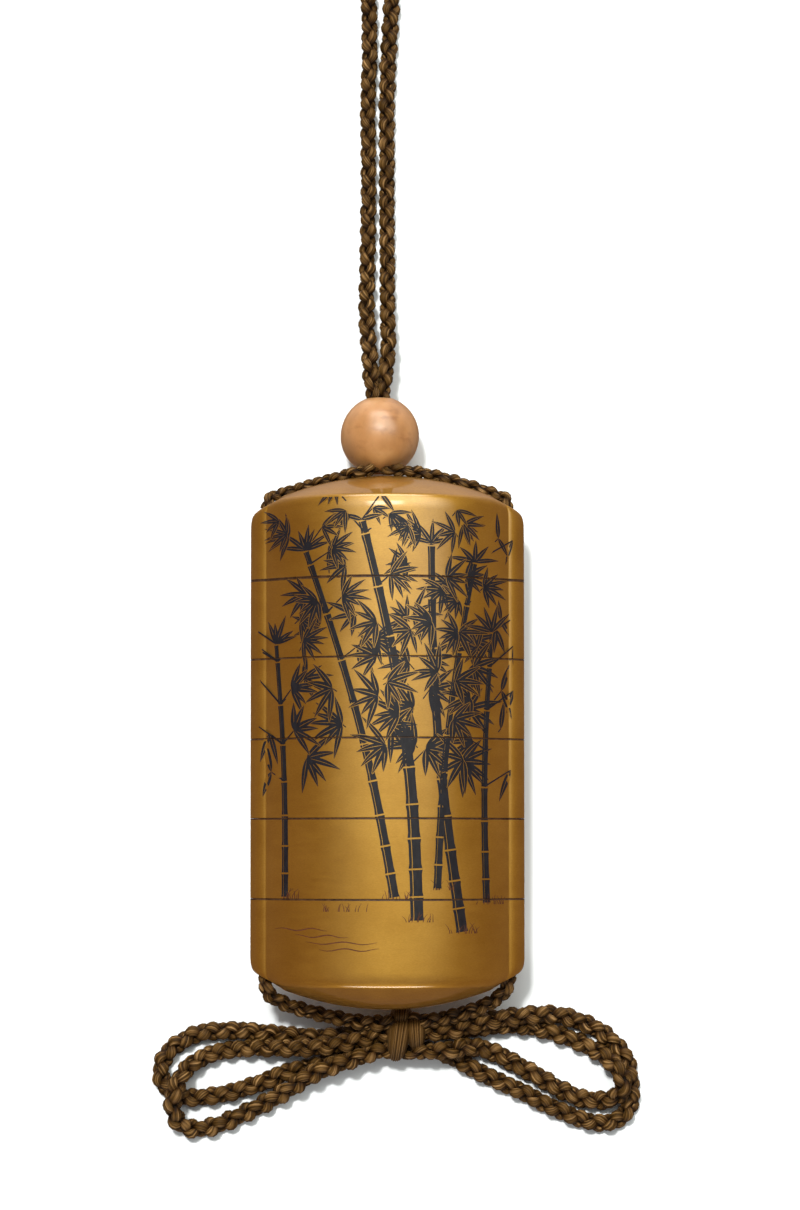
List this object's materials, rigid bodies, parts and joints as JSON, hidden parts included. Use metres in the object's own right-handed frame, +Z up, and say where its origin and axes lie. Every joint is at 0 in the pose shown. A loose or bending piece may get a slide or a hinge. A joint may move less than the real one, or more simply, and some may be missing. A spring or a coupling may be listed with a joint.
{
  "type": "inro case with bead and cord",
  "caption": "Tiered gold-lacquered case with a domed lid and stacking trays, a round bead and a braided silk cord tied in a bow, lying on its back.",
  "frame": {"origin": "on the flat of the back, under the middle of the closed case", "axes": "+X across the width, +Y along the case from the trays to the lid, +Z up from the back to the front"},
  "size_m": [0.0861, 0.2651, 0.0225],
  "materials": {
    "lacquer": "gold lacquer under a clear glossy coat",
    "bead": "polished, faintly mottled",
    "silk": "round braid of fine silk threads"
  },
  "bodies": {
    "root": {"lid": "lacquer", "case_1": "lacquer", "case_2": "lacquer", "case_3": "lacquer", "case_4": "lacquer", "case_5": "lacquer", "ojime": "bead", "bow_knot": "silk", "cord_crown_left": "silk", "cord_crown_right": "silk", "cord_leg_left": "silk", "cord_leg_right": "silk", "cord_bight": "silk", "cord_runner_left": "silk", "cord_runner_right": "silk", "bow_loop_upper_left": "silk", "bow_loop_lower_left": "silk", "bow_loop_outer_right": "silk", "bow_loop_inner_right": "silk", "cord_channel_left": "silk", "cord_channel_right": "silk", "cord_in_bead": "silk"}
  },
  "joints": []
}
